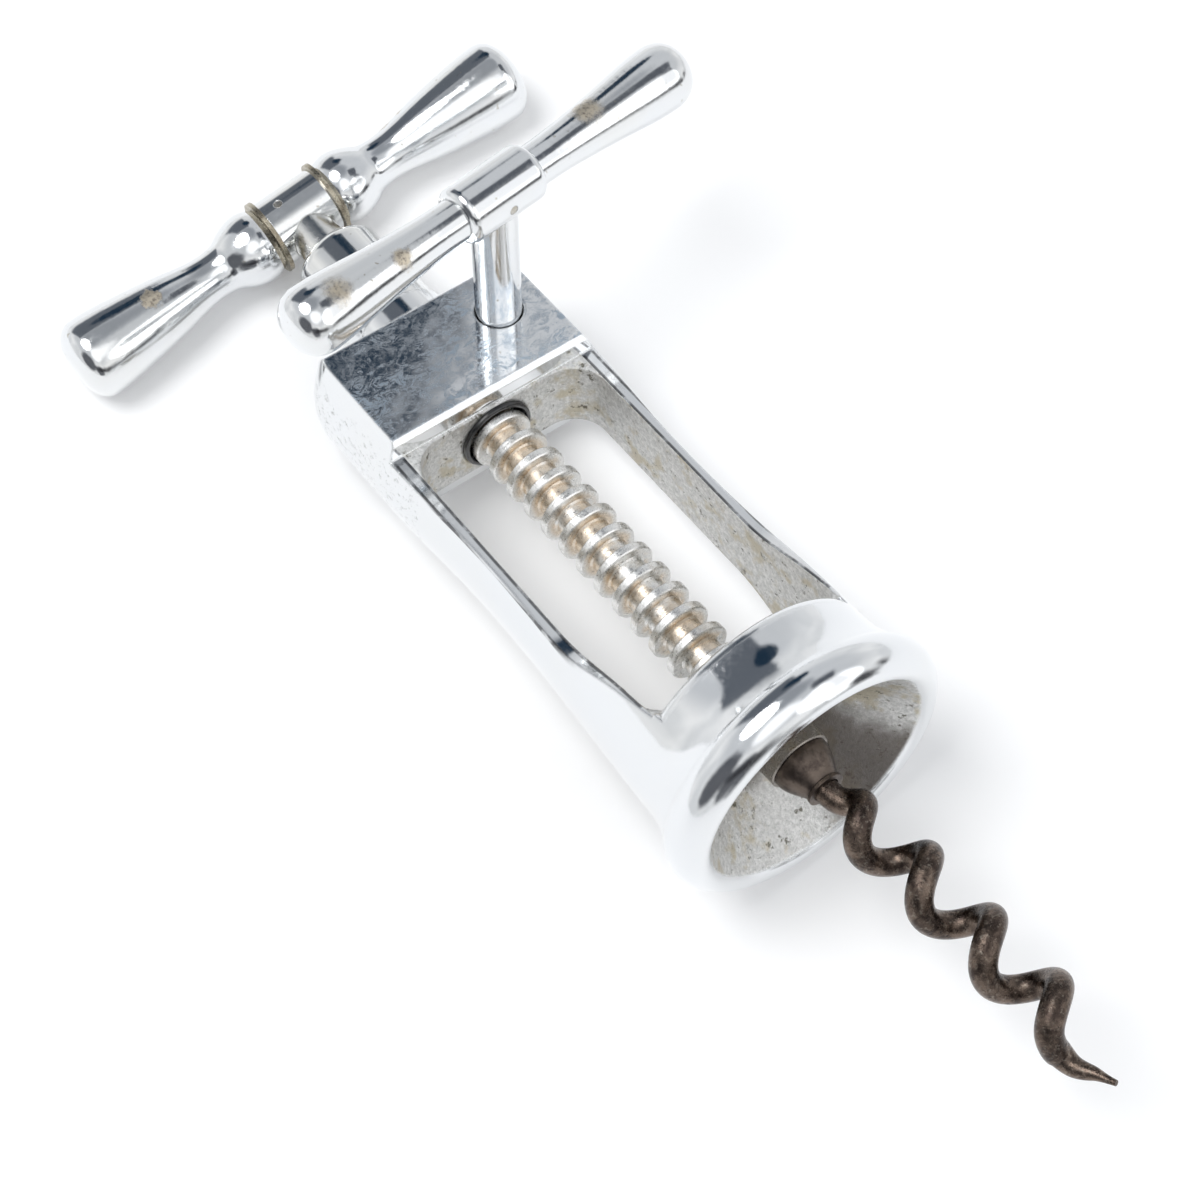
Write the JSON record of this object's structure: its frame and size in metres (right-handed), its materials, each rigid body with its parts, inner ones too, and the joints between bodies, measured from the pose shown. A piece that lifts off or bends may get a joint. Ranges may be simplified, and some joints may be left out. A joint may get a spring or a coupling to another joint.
{
  "type": "lever corkscrew",
  "caption": "Rack and pinion lever corkscrew with a bell seat, open frame, grooved spindle, worm and turned T-handle.",
  "frame": {"origin": "centre of the bell's mouth, on the worm's axis", "axes": "+X along the worm towards its tip, +Y along the T-handle, +Z out of the face the lever stands on"},
  "size_m": [0.1631, 0.0761, 0.0523],
  "materials": {
    "chrome_casting": "bright plating on a casting, worn at the edges",
    "chrome_turned": "polished plating with yellow-brown wear",
    "spindle_steel": "dull turned steel with stained grooves",
    "worm_steel": "dark brown worn steel",
    "plain_steel": "plain turned steel",
    "brass_ring": "tarnished brass",
    "black_bush": "black, slightly glossy"
  },
  "bodies": {
    "frame": {"frame_casting": "chrome_casting", "upper_rack_bush": "black_bush", "lower_rack_bush": "black_bush", "bearing_plug": "plain_steel"},
    "collar": {"stop_collar": "chrome_turned"},
    "spindle": {"spindle": "spindle_steel", "collar_clip": "plain_steel", "handle_hub": "chrome_turned", "handle_dowel": "plain_steel", "handle_tie_rod": "plain_steel", "handle_ring_left": "brass_ring", "handle_ring_right": "brass_ring", "handle_grip_left": "chrome_turned", "handle_grip_right": "chrome_turned", "worm_ferrule": "plain_steel", "worm": "worm_steel"},
    "lever": {"pinion_shaft": "chrome_turned", "pinion_gear": "plain_steel", "pinion_pin": "plain_steel", "pinion_front_washer": "plain_steel", "pinion_rear_washer": "plain_steel", "lever_hub": "chrome_turned", "lever_pin": "plain_steel", "lever_grip_left": "chrome_turned", "lever_grip_right": "chrome_turned", "lever_stud_left": "plain_steel", "lever_stud_right": "plain_steel"}
  },
  "joints": [
    {"name": "rack_slide", "type": "slide", "parent": "frame", "child": "collar", "axis": [-1, 0, 0], "range_m": [0, 0.0466]},
    {"name": "spindle_spin", "type": "hinge", "parent": "collar", "child": "spindle", "pos_m": [0, 0, 0], "axis": [1, 0, 0], "continuous": true},
    {"name": "lever_turn", "type": "hinge", "parent": "frame", "child": "lever", "pos_m": [-0.0748, 0.0084, 0], "axis": [0, 0, -1], "range_deg": [0, 576]}
  ],
  "couplings": [
    {"joint": "rack_slide", "follows": "lever_turn", "m_per_rad": 0.0046219}
  ]
}
